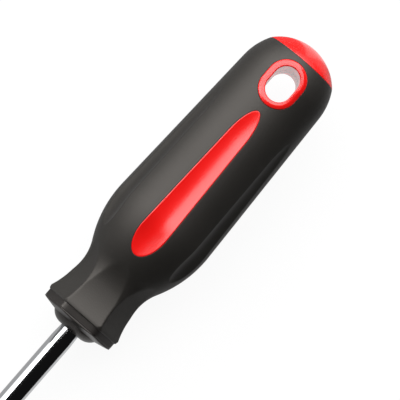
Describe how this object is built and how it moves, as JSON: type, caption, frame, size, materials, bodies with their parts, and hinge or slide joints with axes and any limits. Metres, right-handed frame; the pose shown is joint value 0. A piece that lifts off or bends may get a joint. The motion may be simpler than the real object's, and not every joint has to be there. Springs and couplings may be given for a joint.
{
  "type": "screwdriver",
  "caption": "Cross-point screwdriver: plain chromed round shank, contoured soft-grip handle with lengthways scoops, teardrop inlays, hexagonal guard, domed butt and a lined hanging slot.",
  "frame": {"origin": "on the shank's axis, where the shank enters the nose of the handle", "axes": "+X along the tool from the point towards the butt, +Z out of the hanging slot and the front inlay, so the tool lies with its back inlay down"},
  "size_m": [0.198, 0.03, 0.029],
  "materials": {
    "blade_chrome": "bright chrome plate on ground tool steel",
    "core_plastic": "moulded hard black polypropylene, semi-gloss",
    "grip_rubber": "moulded thermoplastic rubber, fine matt texture",
    "red_plastic": "moulded red polypropylene, glossy"
  },
  "bodies": {
    "root": {"blade": "blade_chrome", "handle_core": "core_plastic", "grip": "grip_rubber", "butt_cap": "red_plastic", "eyelet_front": "red_plastic", "eyelet_back": "red_plastic", "front_inlay": "red_plastic", "back_inlay": "red_plastic"}
  },
  "joints": []
}
